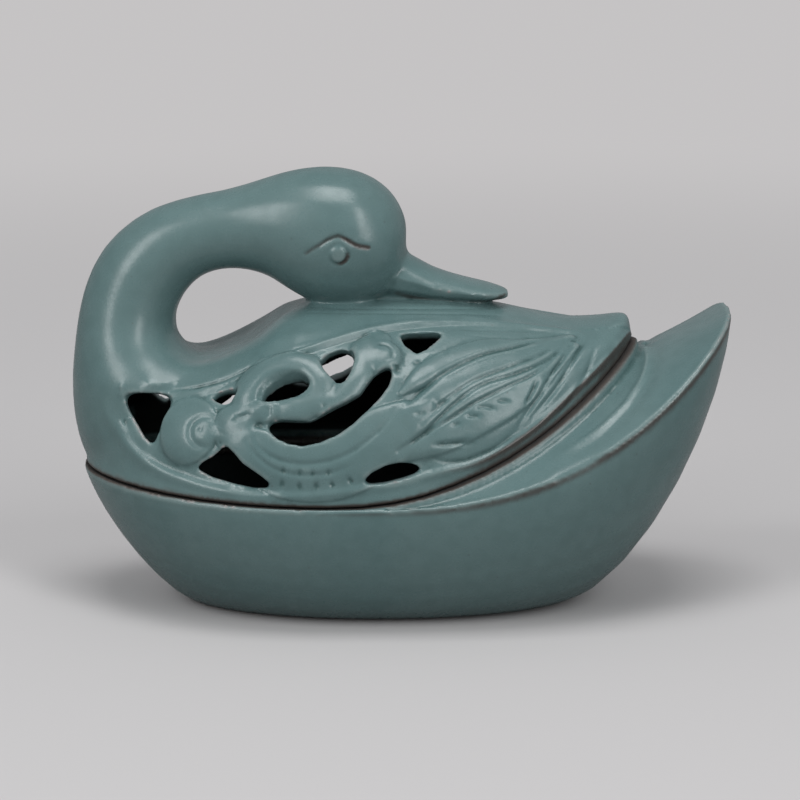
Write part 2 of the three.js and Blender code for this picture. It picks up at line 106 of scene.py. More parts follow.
def move_to(piece, points):
    piece.data.vertices.foreach_set("co", (points * MM).ravel())
    piece.data.update()


def paint(piece, name, values):
    """Keeps one number for each vertex as an attribute that the glaze can read."""
    attribute = piece.data.attributes.get(name) or piece.data.attributes.new(name, "FLOAT", "POINT")
    attribute.data.foreach_set("value", np.asarray(values, dtype=np.float32))


def ramp(values, start, end):
    """Goes smoothly from 0 at start to 1 at end."""
    share = np.clip((values - start) / (end - start), 0, 1)
    return share * share * (3 - 2 * share)


# %% [markdown]
# ## A plan of the wing
# The wings are carved as relief. Each roll of the carving is drawn on a flat plan that leans back with the
# wing: one way is the distance along the swan, and the other is the height up the leaning plane. Both wings
# share the plan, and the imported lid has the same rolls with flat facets.

# %% The wing's plan
WING_LEAN = math.radians(35)
WALL = 4.2
WING_END, WING_TOP = 72, 92


def wing_plan(points):
    """Distance along the swan and height up the leaning plane, for points in millimetres."""
    up = points[:, 2] * math.cos(WING_LEAN) - np.abs(points[:, 1]) * math.sin(WING_LEAN)
    return np.stack([points[:, 0], up], axis=1)


def square_to_plan(points):
    """The direction square to the leaning plane, on the side of each point."""
    lean = np.array([0, math.cos(WING_LEAN), math.sin(WING_LEAN)])
    return np.where(points[:, 1:2] < 0, lean * [1, -1, 1], lean)


def outwards(points):
    """The direction away from the body, as on an egg of the swan's rough size."""
    away = (points - [-20, 0, 38]) / np.array([80, 46, 50]) ** 2
    return away / np.linalg.norm(away, axis=1)[:, None]


def flowing(marks, steps=6):
    """A smooth line through given marks. Each mark is a place and, if it has one, a half-width."""
    marks = np.array(marks, dtype=float)
    padded = np.vstack([2 * marks[0] - marks[1], marks, 2 * marks[-1] - marks[-2]])
    line = []
    for a, b, c, d in zip(padded, padded[1:], padded[2:], padded[3:]):
        for t in np.arange(steps) / steps:
            bend = (2 * a - 5 * b + 4 * c - d) * t**2 + (3 * b - a - 3 * c + d) * t**3
            line.append(b + 0.5 * ((c - a) * t + bend))
    return np.array(line + [marks[-1]])


def nearest_on(line, plan):
    """Each point's distance to the line, and how far along the line that is, from 0 to 1."""
    best = np.full(len(plan), np.inf)
    along = np.zeros(len(plan))
    for index, (a, b) in enumerate(zip(line[:, :2], line[1:, :2])):
        t = np.clip((plan - a) @ (b - a) / max((b - a) @ (b - a), 1e-9), 0, 1)
        distance = np.linalg.norm(plan - a - t[:, None] * (b - a), axis=1)
        closer = distance < best
        best[closer] = distance[closer]
        along[closer] = (index + t[closer]) / (len(line) - 1)
    return best, along


def share_across(line, plan):
    """How far each point lies from the line's middle, as a share of the line's half-width there."""
    distance, along = nearest_on(line, plan)
    return distance / np.interp(along, np.linspace(0, 1, len(line)), line[:, 2]), along


# %% [markdown]
# ## The rolls of the wing
# A thin roll frames each wing from a peak on the breast to the tip of the lid's tail. Inside it are the
# four scrolls between the windows: a volute behind the breast, the wing bone that sweeps from it towards
# the tail, a hook that curls round one window, and an S-shaped curl. Four long feathers fan out behind the
# bone. Each has its packed height, its carved height and marks along its middle: distance along the swan,
# height up the plan and half-width.

# %% Rolls
scrolls = {
    "volute": [
        (-46.5, 29, 2.6), (-49.8, 33, 3), (-54.6, 34.9, 3.2), (-59.4, 33.6, 3.6), (-62, 29.4, 3.9),
        (-61.2, 24.8, 3.9),
        (-57.8, 22, 3.6), (-53.8, 21.8, 2.8), (-51, 23.4, 1.8),
    ],
    "wing_bone": [
        (-54.6, 28.4, 1.6), (-48.6, 26.8, 3.2), (-42, 20.9, 4.8), (-31, 16, 6.2), (-18, 16.3, 6.8),
        (-6, 22.4, 6.8),
        (3, 28.2, 4.8), (9, 32.6, 1.4),
    ],
    "hook": [
        (-42.6, 30.5, 2.6), (-43.2, 35.6, 2.9), (-41.6, 40.4, 2.9), (-38, 43.6, 2.7), (-32, 45.4, 2.5),
        (-26, 44.2, 2.9), (-22.3, 40, 3.2), (-22.4, 35.6, 3.2), (-25.8, 32, 3), (-30.2, 30.9, 2.7),
        (-35.6, 31, 1.8),
    ],
    "curl": [
        (-20.5, 31.8, 1.8), (-17.2, 33.9, 2.6), (-14.2, 36.9, 3), (-12, 40.5, 3.2), (-10.9, 45.1, 3.4),
        (-9.4, 49.6, 3.2), (-5.8, 52.6, 3), (-1.8, 51.8, 2.9), (0.4, 48.2, 2.7), (-0.8, 44.4, 1.8),
    ],
}
feathers = {
    "upper": [(0.5, 36, 0.8), (9, 43, 3.2), (23, 50.6, 3), (36, 53.8, 1.8), (48, 58.2, 0.8)],
    "middle": [(1, 29, 0.8), (10, 35.4, 3.4), (21, 42.8, 4), (33, 48, 3.3), (43, 53.6, 1.9), (49, 58, 0.8)],
    "lower": [(-2, 20.6, 0.8), (9, 28.6, 2), (20, 36.6, 2.3), (29, 40.8, 2.2), (38, 45, 2.4),
              (49, 55.4, 0.8)],
    "outer": [(0, 17.6, 0.8), (11, 23.8, 3.6), (22, 31, 4.6), (31, 36.2, 4), (39, 42.6, 2.8),
              (50, 54.6, 0.8)],
}
frame_rolls = {
    "top": [
        (-79, 42, 0.8), (-72, 41.5, 1.2), (-65, 41.3, 1.3), (-58, 41.4, 1.4), (-51, 42.3, 1.4),
        (-38, 46.3, 1.5),
        (-24, 50.8, 1.5), (-9, 56.6, 1.5), (6, 60, 1.4), (28, 61.3, 1.2), (51, 60.8, 0.8),
    ],
    "low": [
        (-82, 41, 0.8), (-80.2, 35.2, 1.1), (-77, 29.2, 1.2), (-71.4, 22.6, 1.3), (-61, 15.6, 1.4),
        (-48, 10.9, 1.4),
        (-34, 8.8, 1.4), (-19, 9, 1.4), (-4, 11.6, 1.4), (12, 15.6, 1.6), (27, 22.6, 1.8), (40, 31.2, 2),
        (51, 42.2, 1.8), (58.4, 52, 1),
    ],
}
print("rolls on each wing:", len(scrolls) + len(feathers) + len(frame_rolls))

# %% [markdown]
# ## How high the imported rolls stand
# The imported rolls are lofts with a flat-topped section and cut-off ends. Their height over the plain skin
# is worked out from the same marks, so that it can be taken off again before the soft rolls are carved.

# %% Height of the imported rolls
SCROLL_PACKED, FEATHER_PACKED, FRAME_PACKED = 1.3, 1.0, 0.7
ROLL_ACROSS, ROLL_LIFT = (0, 0.7, 1.15), (1, 0.7, -1.2)
NOT_ON_ROLL, PAST_END, AT_END = 9, 0.2, 1e-6


def packed_across(line, plan):
    """The share across a packed roll, which ends square at its last marks."""
    share, along = share_across(line, plan)
    for at, end, before in ((0, line[0, :2], line[1, :2]), (1, line[-1, :2], line[-2, :2])):
        way = (end - before) / np.linalg.norm(end - before)
        share[(np.abs(along - at) < AT_END) & ((plan - end) @ way > PAST_END)] = NOT_ON_ROLL
    return share


def packed_height(plan):
    """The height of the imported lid's faceted rolls above its plain skin."""
    height = np.zeros(len(plan))
    groups = ((scrolls, SCROLL_PACKED, 2), (feathers, FEATHER_PACKED, 1), (frame_rolls, FRAME_PACKED, 1))
    for group, packed, steps in groups:
        for marks in group.values():
            across = packed_across(flowing(marks, steps), plan)
            height = np.maximum(height, packed * np.interp(across, ROLL_ACROSS, ROLL_LIFT))
    return height


# %% [markdown]
# ## The skin of the wing
# How deep a point lies in the wall decides how much of the carving it gets: all of it on the skin, none
# inside. That keeps the walls of the windows whole when the skin beside them is moved.

# %% Depth in the wall
FACING_OUT = 0.5


def outer_skin(solid):
    """The outward faces of a wing, for measuring how deep a point lies in the wall."""
    mesh = solid.data
    centres = np.array([face.center for face in mesh.polygons]) / MM
    normals = np.array([face.normal for face in mesh.polygons])
    from_plan = (normals * square_to_plan(centres)).sum(axis=1)
    from_body = (normals * outwards(centres)).sum(axis=1)
    facing = np.maximum(from_plan, from_body) > FACING_OUT
    faces = [tuple(face.vertices) for face, out in zip(mesh.polygons, facing) if out]
    return BVHTree.FromPolygons([vertex.co / MM for vertex in mesh.vertices], faces)


def depth_in_wall(points, skin):
    """The depth of each point under the skin. Points far from the wings count as deep."""
    near = (points[:, 0] < WING_END) & (points[:, 2] < WING_TOP)
    depths = np.full(len(points), 2 * WALL)
    depths[near] = [skin.find_nearest(Vector(point))[3] for point in points[near]]
    return depths


# %% [markdown]
# ## Fresh clay
# A slip-cast swan has no corners or facets: everything runs into everything else. A copy of each packed
# solid is rebuilt as an even skin of small squares with a voxel remesh, and then rubbed smooth as wet clay
# is with a sponge. The lid's faceted rolls are pressed flat first, so that soft ones can be carved in their
# places.

# %% Copy a solid and press its rolls flat
MERGE_DISTANCE = 0.01
PRESSED_DEPTH = (0.4, 2.4)


def clay_copy(node, name):
    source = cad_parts[node]
    mesh = source.data.copy()
    mesh.materials.clear()
    mesh.transform(source.matrix_world)
    piece = bpy.data.objects.new(name, mesh)
    bpy.context.scene.collection.objects.link(piece)
    pick(piece)
    bpy.ops.object.mode_set(mode="EDIT")
    bpy.ops.mesh.select_all(action="SELECT")
    bpy.ops.mesh.remove_doubles(threshold=MERGE_DISTANCE * MM)
    bpy.ops.object.mode_set(mode="OBJECT")
    return piece


def press_rolls_flat(piece):
    points = places(piece)
    on_skin = 1 - ramp(depth_in_wall(points, outer_skin(piece)), *PRESSED_DEPTH)
    drop = packed_height(wing_plan(points)) * on_skin
    move_to(piece, points - square_to_plan(points) * drop[:, None])


# %% [markdown]
# ## Crisp edges
# Some edges of the real swan stay crisp: the rims, the seat, the lip of the lid's tail and the windows'
# edges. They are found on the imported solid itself, as outward corners that turn more than a set angle. On
# the carved panel only the windows' edges turn as much as that. The end of the lid's tail is left out,
# because it is round.

# %% Find the crisp edges
CRISP_TURN, CRISP_TURN_ON_WING = math.radians(35), math.radians(60)
EDGE_SAMPLE = 1.0
ROUND_TAIL_FROM, ROUND_TAIL_TO, ROUND_TAIL_ABOVE = 62, 68, 81


def inside_outline(outline, plan):
    """Whether each point of the plan lies inside a closed outline."""
    inside = np.zeros(len(plan), dtype=bool)
    for (ax, ay), (bx, by) in zip(outline, np.roll(outline, -1, axis=0)):
        crosses = (ay > plan[:, 1]) != (by > plan[:, 1])
        if ay != by:
            inside ^= crosses & (plan[:, 0] < (bx - ax) * (plan[:, 1] - ay) / (by - ay) + ax)
    return inside


frame_top = flowing(frame_rolls["top"])
frame_low = flowing([
    (-84.5, 43.5, 1.2), (-82.4, 36.2, 1.2), (-77, 28, 1.2), (-70.4, 21.2, 1.3),
] + frame_rolls["low"][4:9] + [
    (6, 13.9, 1.4), (14, 16, 1.2), (19.5, 17.5, 1), (24.5, 19.7, 1), (29.5, 22.7, 1), (34.6, 26.3, 1),
    (39.4, 30.2, 1),
    (44.6, 35.3, 1), (49.7, 40.7, 1), (53.5, 44.8, 1), (57.7, 49.7, 1), (61.7, 55.2, 1), (64.6, 60, 1),
    (66.5, 63.5, 1),
])
panel_outline = np.vstack([frame_top, frame_low[::-1]])[:, :2]


def crisp_edges(piece):
    """Points along the outward corners of the solid, about a millimetre apart."""
    mesh = piece.data
    on_wing = inside_outline(panel_outline, wing_plan(places(piece)))
    faces_at = {}
    for face in mesh.polygons:
        for key in face.edge_keys:
            faces_at.setdefault(key, []).append(face)
    samples = []
    for (a, b), faces in faces_at.items():
        least_turn = CRISP_TURN_ON_WING if on_wing[a] and on_wing[b] else CRISP_TURN
        if len(faces) != 2 or faces[0].normal.angle(faces[1].normal, 0) < least_turn:
            continue
        if (faces[1].center - faces[0].center).dot(faces[0].normal) > 0:
            continue
        start, end = mesh.vertices[a].co / MM, mesh.vertices[b].co / MM
        if ROUND_TAIL_FROM < start.x < ROUND_TAIL_TO and start.z > ROUND_TAIL_ABOVE:
            continue
        steps = max(1, round((end - start).length / EDGE_SAMPLE))
        samples += [start.lerp(end, step / steps) for step in range(steps + 1)]
    tree = KDTree(len(samples))
    for index, point in enumerate(samples):
        tree.insert(point, index)
    tree.balance()
    return tree


# %% [markdown]
# ## Rub the clay smooth
# The remeshed skin is smoothed many times over, less and less towards a crisp edge, and a few times all
# over. The neck was luted onto the body with slip, so the joint at its foot is wiped until it vanishes. A
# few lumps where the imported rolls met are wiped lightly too.

# %% Remesh, rub and wipe
SOFT_LEVELS, RUB, LAST_ROUNDS = 10, 0.5, 7
JOINT_HEIGHT, JOINT_REACH, JOINT_END, JOINT_FADE, JOINT_ROUNDS = 45, 10, 44, 8, 400
EDGE_GUARD, BREAST_FROM = (0.4, 1.8), (80, 84)
LUMP_SHARE, LEAST_WIPED = 0.3, 0.05
lumps = [((-44.7, 30), 6), ((-37.3, 30.3), 5.5), ((-56.4, 28.3), 4.5), ((-21.7, 32.2), 4.5)]


def remesh_and_rub(piece, voxel, reach, rounds):
    """Gives the piece an even, soft skin, and returns its crisp edges. Lengths are in millimetres."""
    edges = crisp_edges(piece)
    apply_modifier(piece, "REMESH", mode="VOXEL", voxel_size=voxel * MM)
    distance = np.array([edges.find(point)[2] for point in places(piece)])
    group = piece.vertex_groups.new(name="soft")
    softness = ramp(distance, *reach)
    for level in range(1, SOFT_LEVELS + 1):
        members = np.nonzero(np.round(softness * SOFT_LEVELS) == level)[0]
        group.add(members.tolist(), level / SOFT_LEVELS, "REPLACE")
    apply_modifier(piece, "SMOOTH", factor=RUB, iterations=rounds, vertex_group="soft")
    apply_modifier(piece, "SMOOTH", factor=RUB, iterations=LAST_ROUNDS)
    print(piece.name, len(piece.data.vertices), "points after the remesh")
    return edges


def wipe_joint(piece, edges):
    """Smooths the foot of the neck and the lumps, but not the crisp edges beside them."""
    points = places(piece)
    plan = wing_plan(points)
    away = np.abs(plan[:, 1] - JOINT_HEIGHT) / JOINT_REACH
    wiped = (1 - ramp(away, 0.4, 1)) * ramp(-points[:, 0], JOINT_END, JOINT_END + JOINT_FADE)
    for middle, reach in lumps:
        from_lump = np.linalg.norm(plan - np.array(middle), axis=1)
        wiped = np.maximum(wiped, LUMP_SHARE * (1 - ramp(from_lump, 0.5 * reach, reach)))
    near = np.nonzero(wiped > LEAST_WIPED)[0]
    group = piece.vertex_groups.new(name="wiped")
    for index in near:
        from_edge = edges.find(points[index])[2]
        free = max(ramp(from_edge, *EDGE_GUARD), ramp(-points[index][0], *BREAST_FROM))
        group.add([int(index)], float(wiped[index] * free), "REPLACE")
    apply_modifier(piece, "SMOOTH", factor=RUB, iterations=JOINT_ROUNDS, vertex_group="wiped")
    print("wiped", len(near), "points of the neck's joint and the lumps")


lid = clay_copy("lid", "swan_lid")
bowl = clay_copy("bowl", "swan_bowl")
press_rolls_flat(lid)
plain_skin = outer_skin(lid)
remesh_and_rub(bowl, voxel=0.55, reach=(0.6, 6), rounds=110)
lid_edges = remesh_and_rub(lid, voxel=0.5, reach=(0.6, 5), rounds=110)
wipe_joint(lid, lid_edges)

# %% [markdown]
# ## Carve the wings
# The panel inside the frame is sunk a little, less so under the feathers and not at all at the breast. The
# rolls stand up from it with full, round backs, and soft pads fill the joints between them. The volute is
# one round pad, whose spiral is cut later. Raised lines follow the frame, and below the lip line the lid's
# tail falls away.

# %% Relief of the wing
PANEL_DEPTH, PANEL_SLOPE, PANEL_START = 0.95, 1.6, (-82, -66)
BREAST_FADE, BREAST_SLOPE, FEATHER_BED = (-66, -48), 9, (2, 22, 0.6)
SCROLL_HEIGHT, SCROLL_SPREAD = 0.9, 1.32
FEATHER_HEIGHT, FEATHER_SPREAD = 0.45, 1.2
END_SINK, END_LENGTH, SOFT_JOIN = 0.5, (-0.03, 0.12), 1.1
pads = [
    ((-59.2, 28.6), (8.5, 9.9), 0.95), ((-4.6, 47.4), (5.4, 5.6), 0.9),
    ((-45.4, 29.6), (6.4, 4.8), 0.85), ((-37.8, 31.2), (5, 3.6), 0.85), ((-21.6, 32.3), (4.6, 3.6), 0.85),
]
TOP_LINE, LOW_LINE, LIP_LINE = (0.4, 1.3), (0.45, 1.5), (0.3, 0.9)
TOP_LINE_FROM, TOP_LINE_END, LOW_LINE_START = (-42, -30), (0, 0.12), (0, 0.05)
LIP_FROM, LIP_SLOPE, LIP_DROP = (2, 22), 0.32, 1.3
carved_rolls = [scrolls["wing_bone"][1:], scrolls["hook"], scrolls["curl"][:-3]]


def round_back(across):
    return np.clip(1 - np.clip(across, 0, 1) ** 2, 0, 1) ** 0.5


def add_roll(relief, floor, back, height):
    """Lays a roll on the relief, and fills the corner between the two like a finger-wiped joint."""
    roll = floor + (height - floor) * back
    near = np.clip(SOFT_JOIN - np.abs(relief - roll), 0, SOFT_JOIN) * ramp(back, 0, 0.4)
    return np.maximum(relief, roll) + near**2 / (4 * SOFT_JOIN)


def roll_back(marks, plan, spread):
    """1 along the middle of a roll and 0 beside it. The roll's ends sink a little."""
    share, along = share_across(flowing(marks), plan)
    ends = ramp(along, *END_LENGTH) * ramp(1 - along, *END_LENGTH)
    return round_back(share / spread) * (1 - END_SINK * (1 - ends))


def wing_relief(plan):
    """How far the carving stands out of the plain wing at each point of the plan, in millimetres."""
    x, up = plan.T
    top_distance, top_along = nearest_on(frame_top, plan)
    low_distance, low_along = nearest_on(frame_low, plan)
    panel = inside_outline(panel_outline, plan)
    bed = 1 - FEATHER_BED[2] * ramp(x, FEATHER_BED[0], FEATHER_BED[1])
    slope = BREAST_SLOPE + (PANEL_SLOPE - BREAST_SLOPE) * ramp(x, *BREAST_FADE)
    sunk = ramp(top_distance / slope, 0, 1) * ramp(low_distance, 0, PANEL_SLOPE)
    floor = -PANEL_DEPTH * bed * sunk * panel * ramp(x, *PANEL_START)
    relief = floor.copy()
    for middle, radii, height in pads:
        back = round_back(np.linalg.norm((plan - np.array(middle)) / np.array(radii), axis=1))
        relief = add_roll(relief, floor, back, height)
    for marks in carved_rolls:
        relief = add_roll(relief, floor, roll_back(marks, plan, SCROLL_SPREAD), SCROLL_HEIGHT)
    for marks in feathers.values():
        relief = add_roll(relief, floor, roll_back(marks, plan, FEATHER_SPREAD), FEATHER_HEIGHT)
    top_ends = ramp(x, *TOP_LINE_FROM) * ramp(1 - top_along, *TOP_LINE_END)
    relief += TOP_LINE[0] * top_ends * np.exp(-(top_distance / TOP_LINE[1]) ** 2)
    lip = ramp(x, *LIP_FROM)
    height, width = (LOW_LINE[i] * (1 - lip) + LIP_LINE[i] * lip for i in (0, 1))
    relief += height * ramp(low_along, *LOW_LINE_START) * np.exp(-(low_distance / width) ** 2)
    outside = ~panel & (up < np.interp(x, frame_low[:, 0], frame_low[:, 1]))
    return relief - outside * lip * np.minimum(LIP_SLOPE * low_distance, LIP_DROP)


# %% [markdown]
# ## Cut lines
# Then lines are cut into the leather-hard clay with a thin tool, deep in the middle of the stroke and
# fading at its ends: the volute's spiral, the arcs and nicks on the wing bone, and the barbs of the
# feathers. Each line has its depth, its half-width and marks on the plan. Drawing them as lines keeps each
# stroke easy to move.

# %% Cut lines
cuts = {
    "volute_spiral": (0.42, 0.95, [(-51.6, 23.6), (-54, 22.7), (-56.6, 23.6), (-58.2, 26), (-58, 29.2),
                                   (-55.4, 31),
                                 (-52.2, 30.4), (-49.8, 28)]),
    "shoulder_crease": (0.7, 0.55, [(-64, 41.6), (-58, 41.4), (-52, 42), (-46, 43.6), (-40.5, 45.6),
                                    (-36, 47.2)]),
    "curl_spiral": (0.4, 0.55, [(-6.8, 49.8), (-5.6, 50.7), (-4, 50.6), (-2.5, 49.2), (-2.1, 46.8),
                                (-3.7, 45.6)]),
    "bone_arc_upper": (0.4, 0.7, [(-40.2, 23.8), (-38.2, 20.3), (-33.8, 17.8), (-27.7, 16.3), (-20.7, 16.7),
                                  (-14.4, 18.8), (-9.4, 21.9), (-4.4, 26.5), (-0.6, 32.2)]),
    "bone_arc_lower": (0.3, 0.6, [(-42.4, 23.2), (-39.6, 18.9), (-34.6, 15.4), (-27.7, 13.7), (-19.4, 14),
                                  (-13.3, 16)]),
    "barb_1": (0.8, 0.7, [(1.1, 32.2), (5.6, 36.1), (10.3, 40.5), (16.8, 45.2), (24.1, 49.1), (33.8, 52.8),
                          (44, 57.6)]),
    "barb_2": (0.7, 0.65, [(-0.6, 19.8), (6.9, 24.8), (12.8, 31), (19.5, 37), (25.1, 40.4), (32.2, 43.2),
                           (40.8, 48.1), (48.6, 57)]),
    "barb_3": (0.5, 0.6, [(5.5, 26.8), (12.5, 33.8), (20.1, 39.8), (29.1, 44.6), (38.6, 49.6), (46.4, 56)]),
    "barb_4": (0.6, 0.6, [(3.9, 22.4), (13.6, 28.9), (22, 34.6), (30.4, 39.4), (38, 44), (46.6, 53)]),
    "barb_5": (0.6, 0.6, [(33.5, 29.2), (39.4, 38.3), (45.9, 50.3), (50.5, 57.9)]),
    "barb_6": (0.6, 0.6, [(37.1, 31.6), (43.7, 39.7), (49.6, 50.5), (53.4, 58.4)]),
    "barb_7": (0.35, 0.6, [(43.7, 31.7), (51.8, 44), (56.4, 56.7)]),
    "border": (0.45, 0.6, [(8.3, 18.7), (12.8, 18), (17.2, 18.4), (22.2, 20.3), (27, 22.7), (33.5, 28.2)]),
    "dash_low": (0.7, 0.7, [(9.4, 21.8), (12.5, 22.2), (16.1, 22.7), (20, 23.5)]),
    "dash_a": (0.45, 0.5, [(21.1, 32.3), (23.6, 32.8), (26.2, 32.4)]),
    "dash_b": (0.45, 0.6, [(18.3, 30.2), (20.3, 30), (22.2, 30.2)]),
    "dash_c": (0.4, 0.5, [(27, 34.7), (28.7, 34.8), (30.4, 34.7)]),
    "dash_d": (0.6, 0.5, [(35.2, 34.8), (36.6, 37.5), (38.1, 41.2)]),
    "dash_e": (0.35, 0.6, [(3.9, 29.8), (5.5, 29.6), (7.2, 30.2)]),
    "dash_f": (0.35, 0.5, [(14.4, 27.3), (16.7, 27.9)]),
    "dash_g": (0.35, 0.6, [(10.6, 33.1), (13.1, 33.8)]),
    "dash_h": (0.3, 0.6, [(3.9, 45.4), (5.9, 46.4)]),
    "dash_i": (0.35, 0.5, [(12.3, 48.6), (13.7, 50)]),
    "tail_line_1": (0.25, 0.5, [(14.7, 58.2), (25.5, 58.4), (36.9, 59.4), (45, 60)]),
    "tail_line_2": (0.25, 0.5, [(19.7, 55.8), (28.2, 55.6), (36.8, 56.2), (44.3, 58)]),
    "shoulder_line": (0.3, 0.5, [(-38.6, 46.6), (-30.8, 49.2), (-22, 51.8)]),
}
NICK_DEPTH, NICK_WIDTH = 0.45, 0.6
STROKE_END, SHALLOW_END, LEAST_HOLD = 0.25, 0.3, 0.02
nicks = [((-32.4, 12.8), (-32.8, 10.8)), ((-28, 12), (-27.7, 10.2)), ((-23.2, 11.9), (-23, 10.2)),
         ((-19.1, 12.1), (-18.4, 10.5)), ((-14.4, 13.1), (-13.3, 11.6)),
         ((-32.1, 15.6), (-32.4, 14.2)), ((-27.7, 15), (-27.7, 13.7)), ((-24.1, 14.7), (-24.1, 13.4)),
         ((-19.9, 14.9), (-19.6, 13.6))]


def cut_depth(plan, depth, width, marks):
    distance, along = nearest_on(flowing(marks), plan)
    stroke = ramp(along, 0, STROKE_END) * ramp(1 - along, 0, STROKE_END)
    fade = SHALLOW_END + (1 - SHALLOW_END) * stroke
    return depth * fade * np.exp(-(distance / width) ** 2)


def carve_wings(piece):
    points = places(piece)
    hold = np.clip(1 - depth_in_wall(points, plain_skin) / WALL, 0, 1)
    carved = hold > LEAST_HOLD
    plan = wing_plan(points[carved])
    relief = wing_relief(plan)
    for depth, width, marks in cuts.values():
        relief -= cut_depth(plan, depth, width, marks)
    for marks in nicks:
        relief -= cut_depth(plan, NICK_DEPTH, NICK_WIDTH, marks)
    points[carved] += outwards(points[carved]) * (relief * hold[carved])[:, None]
    move_to(piece, points)
    lowest, highest = round(relief.min(), 2), round(relief.max(), 2)
    print("carved", int(carved.sum()), "points, from", lowest, "to", highest, "mm")


# %% [markdown]
# ## Slanting window walls
# Three windows were cut with a slanting knife, so that part of their wall can be seen from the side. The
# wall's inner end is moved inwards under the window's edge. Each window has its middle in the plan, its
# reach, and the way and length of the slant.

# %% Slant the walls
slants = {
    "eye": ((-31.7, 36.0), 10, (1.3, -1.9)),
    "drop": ((-16.9, 41.5), 8, (0.6, -1.2)),
    "upper_slit": ((-49, 37), 7, (0.2, -1.3)),
}


def slant_walls(piece):
    points = places(piece)
    depth = depth_in_wall(points, plain_skin)
    plan = wing_plan(points)
    up_plan = np.array([0, -math.sin(WING_LEAN), math.cos(WING_LEAN)])
    lean = np.where(points[:, 1:2] < 0, up_plan * [1, -1, 1], up_plan)
    for middle, reach, way in slants.values():
        from_middle = plan - np.array(middle)
        near = 1 - ramp(np.linalg.norm(from_middle, axis=1), 0.6 * reach, reach)
        upper_side = ramp(-(from_middle @ np.array(way)) / np.linalg.norm(way), -1, 2)
        share = near * upper_side * np.clip(depth / WALL, 0, 1) * (depth < 1.6 * WALL)
        points += lean * (share * way[1])[:, None] + np.array([1, 0, 0]) * (share * way[0])[:, None]
    move_to(piece, points)


carve_wings(lid)
slant_walls(lid)

# %% [markdown]
# ## The back and the apron
# The saddle behind the neck is pressed a little lower. A shallow double line is cut in the back, along the
# cheek and the bill that rest there. On the bowl, a soft ridge follows the lid's tail at a few millimetres,
# with a hollow beside it, so that glaze gathers there.

# %% Saddle, lines on the back, ridge on the apron
SADDLE = np.array([-50, 78.0])
SADDLE_REACH, SADDLE_DEPTH = np.array([24, 12.0]), 2.0
BACK, BACK_HEIGHT, LINES_ABOVE = (-70, 40), (66, 90), (84, 86.5)
back_lines = [
    (0.35, 0.55, [(-25, 8.5), (-19.9, 10.6), (-14.2, 11), (-5.7, 11.2), (2.8, 11), (11.4, 10.3), (20, 8.6),
                  (27.2, 5.8)]),
    (0.3, 0.5, [(-27, 12.5), (-19.9, 13.6), (-14.2, 14), (-5.7, 14.2), (2.8, 14), (11.4, 13.4), (20, 12),
                (30, 9.5)]),
]
APRON_FROM, APRON_ABOVE, FACING_UP, RIDGE_FADE = 36, 44, 0.3, 0.3
apron_ridge = [(70.7, 3.5), (70.3, 13), (68.4, 21.1), (64.6, 27.1), (62, 29.8), (55.3, 34.2), (48.8, 36.2),
               (43.2, 37.6)]
RIDGE_HEIGHT, RIDGE_WIDTH, HOLLOW_DEPTH, HOLLOW_WIDTH = 0.55, 1.1, 0.4, 2.2


def top_view(points):
    return np.stack([points[:, 0], np.abs(points[:, 1])], axis=1)


def shape_back(piece):
    points = places(piece)
    near = (points[:, 2] > BACK_HEIGHT[0]) & (points[:, 2] < BACK_HEIGHT[1])
    near &= (points[:, 0] > BACK[0]) & (points[:, 0] < BACK[1])
    part, plan = points[near], top_view(points[near])
    saddle = 1 - ramp(np.linalg.norm((part[:, [0, 2]] - SADDLE) / SADDLE_REACH, axis=1), 0.2, 1)
    drop = SADDLE_DEPTH * saddle * (1 - ramp(plan[:, 1], 8, 20))
    for depth, width, marks in back_lines:
        drop += cut_depth(plan, depth, width, marks) * ramp(part[:, 2], *LINES_ABOVE)
    part[:, 2] -= drop
    points[near] = part
    move_to(piece, points)


def shape_apron(piece):
    points = places(piece)
    near = (points[:, 0] > APRON_FROM) & (points[:, 2] > APRON_ABOVE)
    part = points[near]
    ridge = flowing(apron_ridge)
    distance, along = nearest_on(ridge, top_view(part))
    beside = ridge[np.round(along * (len(ridge) - 1)).astype(int), :2]
    outer = np.linalg.norm(part[:, :2], axis=1) > np.linalg.norm(beside, axis=1)
    facing_up = normals_of(piece)[near, 2] > FACING_UP
    fade = ramp(1 - along, 0, RIDGE_FADE)
    lift = RIDGE_HEIGHT * np.exp(-(distance / RIDGE_WIDTH) ** 2)
    lift -= HOLLOW_DEPTH * outer * np.exp(-((distance - 2.6) / HOLLOW_WIDTH) ** 2)
    part[:, 2] += lift * fade * facing_up
    points[near] = part
    move_to(piece, points)
    print("apron:", int((near.sum())), "points near the ridge")


shape_back(lid)
shape_apron(bowl)

# %% [markdown]
# ## The head
# The face is drawn in side view and carved outwards from the middle of the head: a round eye with a groove
# under it, a peaked brow, the crease between cheek and bill, and the line where the bill's side turns
# under.

